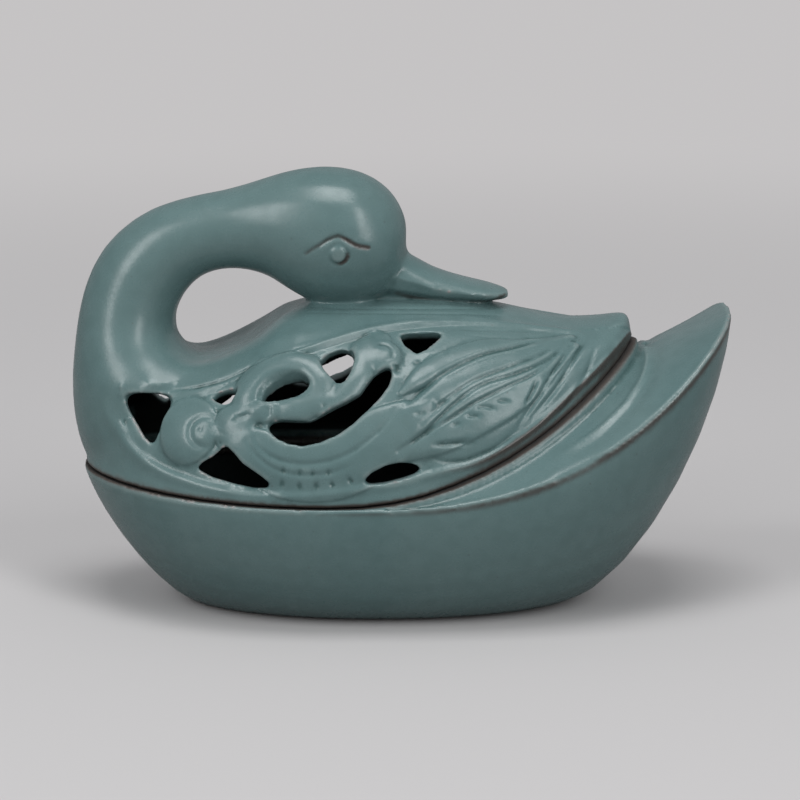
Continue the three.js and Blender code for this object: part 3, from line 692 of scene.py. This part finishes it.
# %% Eye, brow and bill lines
HEAD_CENTRE = np.array([-18, 0, 107.0])
HEAD_FROM, HEAD_TO, HEAD_ABOVE = -40, 36, 86
EYE = np.array([-17.4, 105.0])
EYE_RADIUS, EYE_HEIGHT, EYE_ROUND = 2.5, 0.5, 1.3
GROOVE_DEPTH, GROOVE_WIDTH, GROOVE_AWAY, GROOVE_LEAST = 0.45, 0.55, 0.3, 0.2
GROOVE_WAY = np.array([0.75, -0.66])
BROW_DEPTH, BROW_WIDTH, CREASE_DEPTH, CREASE_WIDTH = 0.55, 0.6, 0.55, 1.0
LINE_END, LINE_LEAST, FLANK = 0.3, 0.4, (2, 5)
brow = flowing([(-26.6, 105.2), (-23.1, 107.4), (-20.2, 109.3), (-17.4, 110.2), (-15, 109.2), (-12.2, 107.6),
                (-8.8, 106.8)])
cheek_crease = flowing([(-4.6, 89.5), (-2.6, 92.6), (-0.6, 96), (0.8, 99), (2, 102)])
bill_line = flowing([(-0.8, 92.2), (2, 91), (9.2, 90), (16.9, 89.4), (23, 89.2), (27.4, 90), (30, 91.4)])


def side_view(points):
    return points[:, [0, 2]]


def from_eye(view):
    """Each point's distance from the eye's middle, and 1 below and before the eye, 0 above and behind it."""
    away = view - EYE
    radius = np.linalg.norm(away, axis=1)
    return radius, np.clip(away @ GROOVE_WAY / np.maximum(radius, 0.1), 0, 1)


def carve_head(piece):
    points = places(piece)
    head = (points[:, 0] > HEAD_FROM) & (points[:, 0] < HEAD_TO) & (points[:, 2] > HEAD_ABOVE)
    view = side_view(points[head])
    radius, below_eye = from_eye(view)
    groove = GROOVE_LEAST + (1 - GROOVE_LEAST) * below_eye
    round_edge = EYE_RADIUS + GROOVE_AWAY
    relief = EYE_HEIGHT * (1 - ramp(radius, round_edge - EYE_ROUND, round_edge))
    relief -= GROOVE_DEPTH * groove * np.exp(-((radius - round_edge) / GROOVE_WIDTH) ** 2)
    strokes = ((brow, BROW_DEPTH, BROW_WIDTH), (cheek_crease, CREASE_DEPTH, CREASE_WIDTH))
    for line, depth, width in strokes:
        distance, along = nearest_on(line, view)
        stroke = ramp(along, 0, LINE_END) * ramp(1 - along, 0, LINE_END)
        fade = LINE_LEAST + (1 - LINE_LEAST) * stroke
        relief -= depth * fade * np.exp(-(distance / width) ** 2)
    flank = ramp(np.abs(points[head, 1]), *FLANK)
    away_from_head = points[head] - HEAD_CENTRE
    away_from_head /= np.linalg.norm(away_from_head, axis=1)[:, None]
    points[head] += away_from_head * (relief * flank)[:, None]
    move_to(piece, points)
    print("head: carved", int(head.sum()), "points")


carve_head(lid)

# %% [markdown]
# ## Thin down
# The even skin has far more points than the broad smooth places need, so both pieces are thinned. The
# thinning keeps points where the surface turns.

# %% Thin down
def thin(piece, most_triangles):
    piece.vertex_groups.clear()
    apply_modifier(piece, "TRIANGULATE")
    share = most_triangles / len(piece.data.polygons)
    if share < 1:
        apply_modifier(piece, "DECIMATE", ratio=share)
    pick(piece)
    bpy.ops.object.shade_smooth()
    print(piece.name, len(piece.data.polygons), "triangles")


thin(lid, most_triangles=196000)
thin(bowl, most_triangles=190000)

# %% [markdown]
# ## Where the glaze is thin, thick or missing
# Celadon runs off edges and gathers in hollows while it melts. So each point gets numbers that the glaze
# can read: how sharply the skin turns there, how much iron colours it, whether it is bare clay, and how
# much painted shade darkens it inside the body. Painted shade is also laid just over the seat and in the
# groove under the eye, with the iron, and deep in the seam, with the bare clay. The seat and the foot
# ring are wiped clean before firing, or they would stick.

# %% Seat and rim levels
SEAT_MIDDLE, SEAT_BOW, SEAT_TAIL, SEAT_HALF_WIDTH = -19.7, 71.5, 86.5, 46
SEAT_HEIGHT, SEAT_BOW_RISE, SEAT_TAIL_RISE, SEAT_SWEEP = 38.2, 3.4, 39.5, 2.2
RIM_ABOVE_SEAT, RIM_TAIL, RIM_TAIL_RISE, RIM_SWEEP = 0.5, 114.7, 48.5, 2.95


def seat_level(points):
    """The height of the seat under each point: low at the sides and swept up towards the tail."""
    x = points[:, 0] - SEAT_MIDDLE
    turn = np.arctan2(points[:, 1] / SEAT_HALF_WIDTH, x / np.where(x > 0, SEAT_TAIL, SEAT_BOW))
    share = np.cos(turn)
    rise = np.where(share > 0, SEAT_TAIL_RISE * np.clip(share, 0, 1) ** SEAT_SWEEP, SEAT_BOW_RISE * share**2)
    return SEAT_HEIGHT + rise


def rim_level(points):
    """The height of the bowl's rim beside each point."""
    share = (points[:, 0] - SEAT_MIDDLE) / RIM_TAIL
    rise = np.where(share > 0, RIM_TAIL_RISE * np.clip(share, 0, 1) ** RIM_SWEEP, 0)
    return SEAT_HEIGHT + RIM_ABOVE_SEAT + rise


print("seat", SEAT_HEIGHT, "to", SEAT_HEIGHT + SEAT_TAIL_RISE, "mm, from the breast to the tail")

# %% [markdown]
# ## How the skin turns
# On a convex edge a point lies outside the mean of its neighbours, and in a hollow inside it. Divided by
# how far apart the points are, that gives the turn of the skin. It is evened out a little over the
# neighbours.

# %% Turn of the skin
TURN_ROUNDS, TURN_SHARE, SOFTEN_ROUNDS = 4, 0.6, 3


def neighbours_mean(edges, values, count):
    """For each point, the mean of its neighbours' values."""
    total = np.zeros_like(values)
    for near, far in ((0, 1), (1, 0)):
        np.add.at(total, edges[:, near], values[edges[:, far]])
    return total / (count if values.ndim == 1 else count[:, None])


def paint_turn(piece):
    """Positive on outward edges and negative in hollows. Returns the edges and each point's count of them."""
    points, normals = places(piece), normals_of(piece)
    edges = np.empty(2 * len(piece.data.edges), dtype=np.int64)
    piece.data.edges.foreach_get("vertices", edges)
    edges = edges.reshape(-1, 2)
    count = np.bincount(edges.ravel(), minlength=len(points))
    away = ((points - neighbours_mean(edges, points, count)) * normals).sum(axis=1)
    squared = np.zeros(len(points))
    for near, far in ((0, 1), (1, 0)):
        gap = points[edges[:, far]] - points[edges[:, near]]
        np.add.at(squared, edges[:, near], (gap ** 2).sum(axis=1))
    turn = 2 * away / (squared / count)
    for _ in range(TURN_ROUNDS):
        turn = (1 - TURN_SHARE) * turn + TURN_SHARE * neighbours_mean(edges, turn, count)
    paint(piece, "turn", turn)
    levels = np.round(np.percentile(turn, [1, 50, 99]), 2)
    print(piece.name, "turn at its 1, 50 and 99 %:", levels)
    return edges, count


def soften(piece, name, edges, count):
    """Lets a painted number run a little into its neighbours, as glaze does."""
    values = np.empty(len(piece.data.vertices), dtype=np.float32)
    piece.data.attributes[name].data.foreach_get("value", values)
    values = values.astype(float)
    for _ in range(SOFTEN_ROUNDS):
        values = (values + neighbours_mean(edges, values, count)) / 2
    paint(piece, name, values)


# %% [markdown]
# ## Paint the lid
# Painted shade darkens only what faces inwards, so it is found by the direction from a line along the
# middle of the body. The underside that rests on the seat is bare. Iron shows along the lip of the tail, in
# the brow and along the edge of the bill, and the same brown is painted as shade just over the seat and in
# the groove under the eye.

# %% Paint the lid
SPINE, SPINE_HEIGHT = (-72, 50), 50
CEILING, NECK_FROM, NECK_HALF_WIDTH, FACING_IN = 87, 70, 15, -0.5
# How deep and how inward-facing the painted shade inside the body reaches.
INSIDE_SHADE_DEPTH, INSIDE_SHADE_FACING = (2.4, 3.8), (0.2, 0.5)
BARE_FACING, BARE_REACH = (-0.7, -0.3), (0.8, 1.8)
LIP_IRON, LIP_IRON_WIDTH, LIP_ABOVE, LIP_IRON_FROM, LIP_SKIN = 1.3, 0.9, (0, 0.8), (0, 35), 1.5
# How far the painted shade along the seam reaches.
SEAM_SHADE_LEVEL, SEAM_SHADE_REACH, SEAM_SHADE_DEPTH = 0.95, (0.9, 2.1), 3
FACE_ABOVE, FACE_AWAY, BROW_ABOVE, BILL_ABOVE, BILL_FACING = 86, 3, 100, 88, 0.5
BROW_IRON, BROW_IRON_WIDTH, BROW_DARKER = (0.8, 0.6), 0.55, (0.45, 0.8)
# Where the painted shade in the groove under the eye lies.
EYE_SHADE, EYE_SHADE_AWAY, EYE_SHADE_WIDTH = 1.4, 0.1, 0.5
BILL_IRON_WIDTH, BILL_MIDDLE_PALER = 0.8, 0.6


def paint_lid(piece):
    points, normals = places(piece), normals_of(piece)
    plan, view = wing_plan(points), side_view(points)
    depth = depth_in_wall(points, plain_skin)
    height, over_seat = points[:, 2], points[:, 2] - seat_level(points)
    spine = np.full_like(points, SPINE_HEIGHT)
    spine[:, 0], spine[:, 1] = np.clip(points[:, 0], *SPINE), 0
    from_spine = (points - spine) / np.linalg.norm(points - spine, axis=1)[:, None]
    outward = (normals * from_spine).sum(axis=1)
    beside_neck = (height < NECK_FROM) | (np.abs(points[:, 1]) > NECK_HALF_WIDTH) | (outward < FACING_IN)
    in_body = (height < CEILING) & beside_neck
    # Painted shade: the inside of the body is darkened where it faces inwards.
    paint(piece, "smoke", in_body * ramp(depth, *INSIDE_SHADE_DEPTH) * (1 - ramp(outward, *INSIDE_SHADE_FACING)))
    under = 1 - ramp(normals[:, 2], *BARE_FACING)
    paint(piece, "bare", under * (1 - ramp(np.abs(over_seat), *BARE_REACH)))

    lip, _ = nearest_on(frame_low, plan)
    above_lip = plan[:, 1] - np.interp(plan[:, 0], frame_low[:, 0], frame_low[:, 1])
    on_tail = (1 - ramp(above_lip, *LIP_ABOVE)) * ramp(plan[:, 0], *LIP_IRON_FROM) * (depth < LIP_SKIN)
    brow_distance, brow_along = nearest_on(brow, view)
    brow_weight = BROW_IRON[0] + BROW_IRON[1] * ramp(brow_along, *BROW_DARKER)
    radius, below_eye = from_eye(view)
    past_eye = radius - EYE_RADIUS - EYE_SHADE_AWAY
    on_face = (height > FACE_ABOVE) & (np.abs(points[:, 1]) > FACE_AWAY)
    bill_distance, bill_along = nearest_on(bill_line, view)
    bill_weight = 1 - BILL_MIDDLE_PALER * np.sin(np.pi * np.clip(bill_along, 0, 1)) ** 2
    on_bill = (normals[:, 2] < BILL_FACING) & (height > BILL_ABOVE)
    paint(piece, "iron", np.max([
        LIP_IRON * np.exp(-(lip / LIP_IRON_WIDTH) ** 2) * on_tail,
        # Painted shade: dark brown just over the seat, along the seam.
        SEAM_SHADE_LEVEL * (1 - ramp(over_seat, *SEAM_SHADE_REACH)) * (depth < SEAM_SHADE_DEPTH),
        brow_weight * np.exp(-(brow_distance / BROW_IRON_WIDTH) ** 2) * (height > BROW_ABOVE),
        # Painted shade: dark brown in the groove below and before the eye.
        EYE_SHADE * below_eye * np.exp(-(past_eye / EYE_SHADE_WIDTH) ** 2) * on_face,
        bill_weight * np.exp(-(bill_distance / BILL_IRON_WIDTH) ** 2) * on_bill,
    ], axis=0))


# %% [markdown]
# ## Paint the bowl
# Painted shade darkens the bowl's inside up to a little under the seat. The seat is bare, and so is the flat
# of the foot ring. A band of iron follows the outer side of the rim and widens towards the tail, and a faint
# one the foot.

# %% Paint the bowl
OVAL_HEIGHT, OVAL_STRETCH = 60, 3
# The bowl's painted shade inside, and where it stops under the seat.
BOWL_INSIDE_SHADE, INSIDE, FLOOR_FROM, INSIDE_SHADE_BELOW_SEAT = 0.9, (0.9, 0.97), (5.8, 6.4), (-3, -1)
SEAT_REACH, SEAT_OUT, SEAT_IN, SEAT_FACING = (0.7, 1.7), (0.985, 1.04), 0.9, (0.1, 0.5)
FOOT_BARE, FOOT_FACING, FOOT_IRON, FOOT_IRON_HEIGHT = (0.3, 0.9), (-0.95, -0.8), 0.5, 0.8
HULL_FACING, HULL_FROM, TAIL_FROM = (0.1, 0.5), (0.96, 1), (-70, 60)
RIM_IRON, RIM_IRON_BELOW, RIM_IRON_WIDTH = (0.35, 0.65), 0.9, (0.6, 1.3)


def paint_bowl(piece):
    points, normals = places(piece), normals_of(piece)
    height, over_seat = points[:, 2], points[:, 2] - seat_level(points)
    half_length = np.where(points[:, 0] > SEAT_MIDDLE, SEAT_TAIL, SEAT_BOW)
    across = np.hypot((points[:, 0] - SEAT_MIDDLE) / half_length, points[:, 1] / SEAT_HALF_WIDTH)
    outwards_here = (points - [SEAT_MIDDLE, 0, OVAL_HEIGHT]) / [OVAL_STRETCH, 1, 1]
    inside = (1 - ramp(across, *INSIDE)) * ((normals * outwards_here).sum(axis=1) < 0)
    under_seat = 1 - ramp(over_seat, *INSIDE_SHADE_BELOW_SEAT)
    # Painted shade: the bowl's inside is darkened up to a little under the seat.
    paint(piece, "smoke", BOWL_INSIDE_SHADE * inside * ramp(height, *FLOOR_FROM) * under_seat)

    seat = (1 - ramp(np.abs(over_seat), *SEAT_REACH)) * (1 - ramp(across, *SEAT_OUT)) * (across > SEAT_IN)
    foot = (1 - ramp(height, *FOOT_BARE)) * (1 - ramp(normals[:, 2], *FOOT_FACING))
    paint(piece, "bare", np.maximum(seat * ramp(normals[:, 2], *SEAT_FACING), foot))

    hull = (1 - ramp(normals[:, 2], *HULL_FACING)) * ramp(across, *HULL_FROM)
    tail = ramp(points[:, 0], *TAIL_FROM)
    below = rim_level(points) - height - RIM_IRON_BELOW
    width = RIM_IRON_WIDTH[0] + RIM_IRON_WIDTH[1] * tail
    rim = (RIM_IRON[0] + RIM_IRON[1] * tail) * np.exp(-(below / width) ** 2) * hull
    paint(piece, "iron", np.maximum(rim, FOOT_IRON * np.exp(-(height / FOOT_IRON_HEIGHT) ** 2)))


for piece, paint_skin in ((lid, paint_lid), (bowl, paint_bowl)):
    edges, count = paint_turn(piece)
    paint_skin(piece)
    soften(piece, "iron", edges, count)
    soften(piece, "bare", edges, count)
    print(piece.name, "painted with turn, smoke, bare and iron")

# %% [markdown]
# ## Short ways to build a material
# A glaze is a chain of nodes. These helpers add a node with its inputs, read a painted number, spread a
# value over a range, and blend two colours, so that the glaze itself can be written in a few lines.

# %% Material helpers
def shader_kit(material):
    """Short ways to add nodes to a material and join them."""
    tree = material.node_tree

    def node(kind, **inputs):
        made = tree.nodes.new(kind)
        for name, value in inputs.items():
            socket = made.inputs[name.replace("_", " ")]
            if isinstance(value, bpy.types.NodeSocket):
                tree.links.new(value, socket)
            else:
                socket.default_value = value
        return made

    def number(name):
        made = tree.nodes.new("ShaderNodeAttribute")
        made.attribute_name = name
        return made.outputs["Fac"]

    def spread(value, start, end, low=0.0, high=1.0):
        made = tree.nodes.new("ShaderNodeMapRange")
        made.interpolation_type = "SMOOTHSTEP"
        tree.links.new(value, made.inputs["Value"])
        for name, setting in (("From Min", start), ("From Max", end), ("To Min", low), ("To Max", high)):
            made.inputs[name].default_value = setting
        return made.outputs["Result"]

    def blend(share, first, second, kind="MIX"):
        made = tree.nodes.new("ShaderNodeMix")
        made.data_type = "RGBA"
        made.blend_type = kind
        for name, value in (("Factor_Float", share), ("A_Color", first), ("B_Color", second)):
            socket = next(socket for socket in made.inputs if socket.identifier == name)
            if isinstance(value, bpy.types.NodeSocket):
                tree.links.new(value, socket)
            else:
                socket.default_value = value
        return next(socket for socket in made.outputs if socket.identifier == "Result_Color")

    return tree, node, number, spread, blend

# %% [markdown]
# ## The glaze
# Celadon is a satin, blue-green glass coloured by a little iron. It is thick and dark in the hollows, and
# thin, pale and slightly pink on the edges, where the body shows through. Where it has run off altogether,
# the iron in the body burns brown, and the same brown is painted as shade just over the seat and in the
# groove under the eye. Fine pits and a faint mottle break it up. The bare seat and foot ring are brown and
# matt, with their brown darkened as painted shade, and painted nearly black deep in the seam as shade. The
# inside is painted nearly black as shade, with its reflections turned down.

# %% Celadon glaze
GLAZE = (0.100, 0.174, 0.176, 1)
GLAZE_DEEP = (0.042, 0.092, 0.090, 1)
GLAZE_THIN = (0.165, 0.238, 0.236, 1)
GLAZE_EDGE = (0.285, 0.264, 0.260, 1)
IRON_BROWN = (0.045, 0.035, 0.030, 1)
# Painted shade: the bare clay's brown is darkened for the seam, the seam colour is painted near black, and
# the inside colour is painted near black.
SHADED_BARE_CLAY = (0.050, 0.040, 0.034, 1)
SEAM_SHADE = (0.012, 0.011, 0.010, 1)
INSIDE_SHADE_COLOR = (0.014, 0.019, 0.018, 1)


def celadon():
    material = bpy.data.materials.new("celadon_glaze")
    material.use_nodes = True
    tree, node, number, spread, blend = shader_kit(material)
    shader = tree.nodes["Principled BSDF"]
    place = node("ShaderNodeTexCoord").outputs["Object"]
    clouds = node("ShaderNodeTexNoise", Vector=place, Scale=28.0, Detail=3.0).outputs["Fac"]
    mottle = node("ShaderNodeTexNoise", Vector=place, Scale=240.0, Detail=4.0, Roughness=0.6).outputs["Fac"]
    grain = node("ShaderNodeTexNoise", Vector=place, Scale=1500.0, Detail=2.0).outputs["Fac"]
    speck = node("ShaderNodeTexVoronoi", Vector=place, Scale=170.0, Randomness=1.0).outputs["Distance"]
    turn, iron = number("turn"), number("iron")

    color = blend(spread(clouds, 0.38, 0.62, 0.0, 0.22), GLAZE, GLAZE_THIN)
    color = blend(spread(mottle, 0.35, 0.7, 0.0, 0.16), color, GLAZE_DEEP)
    color = blend(spread(turn, -0.03, -0.38, 0.0, 0.95), color, GLAZE_DEEP)
    color = blend(spread(turn, 0.05, 0.3, 0.0, 0.75), color, GLAZE_THIN)
    color = blend(spread(turn, 0.3, 0.9, 0.0, 0.85), color, GLAZE_EDGE)
    color = blend(spread(speck, 0.07, 0.03, 0.0, 0.3), color, IRON_BROWN)
    # The iron attribute carries real iron and also painted shade at the seam and under the eye.
    color = blend(spread(iron, 0.1, 0.9, 0.0, 0.92), color, IRON_BROWN)
    color = blend(spread(number("bare"), 0, 0.6), color, SHADED_BARE_CLAY)
    # Painted shade: where the bare clay lies deepest in the seam it is painted nearly black.
    color = blend(spread(number("bare"), 0.55, 1), color, SEAM_SHADE)
    # Painted shade: the inside is painted nearly black.
    color = blend(number("smoke"), color, INSIDE_SHADE_COLOR)
    tree.links.new(color, shader.inputs["Base Color"])

    gloss = spread(mottle, 0.3, 0.7, 0.25, 0.31)
    # Bare clay and the painted-shade inside are matt.
    matt_bare_and_inside = node("ShaderNodeMath")
    matt_bare_and_inside.operation = "MAXIMUM"
    tree.links.new(number("bare"), matt_bare_and_inside.inputs[0])
    tree.links.new(number("smoke"), matt_bare_and_inside.inputs[1])
    dull = node("ShaderNodeMix", Factor=matt_bare_and_inside.outputs["Value"], A=gloss, B=0.85)
    tree.links.new(dull.outputs["Result"], shader.inputs["Roughness"])
    # Painted shade: reflections are turned down inside.
    tree.links.new(spread(number("smoke"), 0, 1, 0.5, 0.12), shader.inputs["Specular IOR Level"])

    pits = node("ShaderNodeBump", Strength=0.06, Distance=0.0002, Height=grain)
    waves = node("ShaderNodeBump", Strength=0.06, Distance=0.0008, Height=mottle,
                 Normal=pits.outputs["Normal"])
    tree.links.new(waves.outputs["Normal"], shader.inputs["Normal"])
    return material


glaze = celadon()
for piece, node in ((bowl, "bowl"), (lid, "lid")):
    piece.data.materials.clear()
    piece.data.materials.append(glaze)
    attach(piece, node)
    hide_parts(node)
print("glazed:", bowl.name, lid.name)

# %% [markdown]
# ## The stage
# The burner stands on a pale table. Near it the table takes light and shadow, and farther off it fades into
# an even pale backdrop. To the camera the table looks paler than the grey that it throws back onto the
# swan.

# %% Table and backdrop
BACKDROP = (0.56, 0.548, 0.552, 1)
TABLE_BOUNCE = (0.32, 0.31, 0.31, 1)
TABLE_SEEN = (0.60, 0.588, 0.59, 1)
FADE_START, FADE_END, TABLE_SIZE = 0.28, 1.0, 16.0


def table():
    material = bpy.data.materials.new("pale_table")
    material.use_nodes = True
    tree, node, number, spread, blend = shader_kit(material)
    shader = tree.nodes["Principled BSDF"]
    seen = node("ShaderNodeLightPath").outputs["Is Camera Ray"]
    tree.links.new(blend(seen, TABLE_BOUNCE, TABLE_SEEN), shader.inputs["Base Color"])
    shader.inputs["Roughness"].default_value = 0.9
    shader.inputs["Specular IOR Level"].default_value = 0.1
    place = node("ShaderNodeTexCoord").outputs["Object"]
    distance = node("ShaderNodeVectorMath", Vector=place)
    distance.operation = "LENGTH"
    far = node("ShaderNodeMath")
    far.operation = "MULTIPLY"
    tree.links.new(spread(distance.outputs["Value"], FADE_START, FADE_END), far.inputs[0])
    tree.links.new(seen, far.inputs[1])
    glow = node("ShaderNodeEmission", Color=BACKDROP)
    mixed = node("ShaderNodeMixShader", Fac=far.outputs["Value"])
    tree.links.new(shader.outputs["BSDF"], mixed.inputs[1])
    tree.links.new(glow.outputs["Emission"], mixed.inputs[2])
    tree.links.new(mixed.outputs["Shader"], tree.nodes["Material Output"].inputs["Surface"])
    return material


bpy.ops.object.select_all(action="DESELECT")
bpy.ops.mesh.primitive_plane_add(size=TABLE_SIZE, location=(0, 0, 0))
floor = bpy.context.object
floor.name = "floor"
floor.data.materials.append(table())


# %% [markdown]
# ## Light
# Three softboxes light the swan from the front: a tall one on each side and one overhead. Their power is
# set so that the glaze's highlights stay soft. A weak even light from all round fills the shadows, while
# the camera itself sees the plain backdrop.

# %% Lights and world
AMBIENT, AMBIENT_STRENGTH = (0.75, 0.76, 0.78, 1), 0.42


def softbox(name, azimuth, elevation, distance, width, height, watts):
    data = bpy.data.lights.new(name, "AREA")
    data.shape = "RECTANGLE"
    data.size, data.size_y = width, height
    data.energy = watts
    lamp = bpy.data.objects.new(name, data)
    bpy.context.scene.collection.objects.link(lamp)
    across, up = math.radians(azimuth), math.radians(elevation)
    away = Vector((math.sin(across) * math.cos(up), -math.cos(across) * math.cos(up), math.sin(up)))
    lamp.location = VIEW_TARGET + away * distance
    lamp.rotation_euler = (-away).to_track_quat("-Z", "Y").to_euler()


softbox("left_box", azimuth=-45, elevation=32, distance=2.3, width=0.7, height=1.6, watts=19)
softbox("right_box", azimuth=36, elevation=28, distance=2.3, width=0.55, height=2.0, watts=20)
softbox("top_box", azimuth=5, elevation=76, distance=2.1, width=0.9, height=0.8, watts=15)

world = bpy.context.scene.world or bpy.data.worlds.new("World")
bpy.context.scene.world = world
world.use_nodes = True
sky = world.node_tree
seen = sky.nodes.new("ShaderNodeLightPath").outputs["Is Camera Ray"]
ambient = sky.nodes["Background"]
ambient.inputs["Color"].default_value = AMBIENT
ambient.inputs["Strength"].default_value = AMBIENT_STRENGTH
backdrop = sky.nodes.new("ShaderNodeBackground")
backdrop.inputs["Color"].default_value = BACKDROP
either = sky.nodes.new("ShaderNodeMixShader")
sky.links.new(seen, either.inputs["Fac"])
sky.links.new(ambient.outputs["Background"], either.inputs[1])
sky.links.new(backdrop.outputs["Background"], either.inputs[2])
sky.links.new(either.outputs["Shader"], sky.nodes["World Output"].inputs["Surface"])

bpy.context.scene.view_settings.view_transform = "Standard"
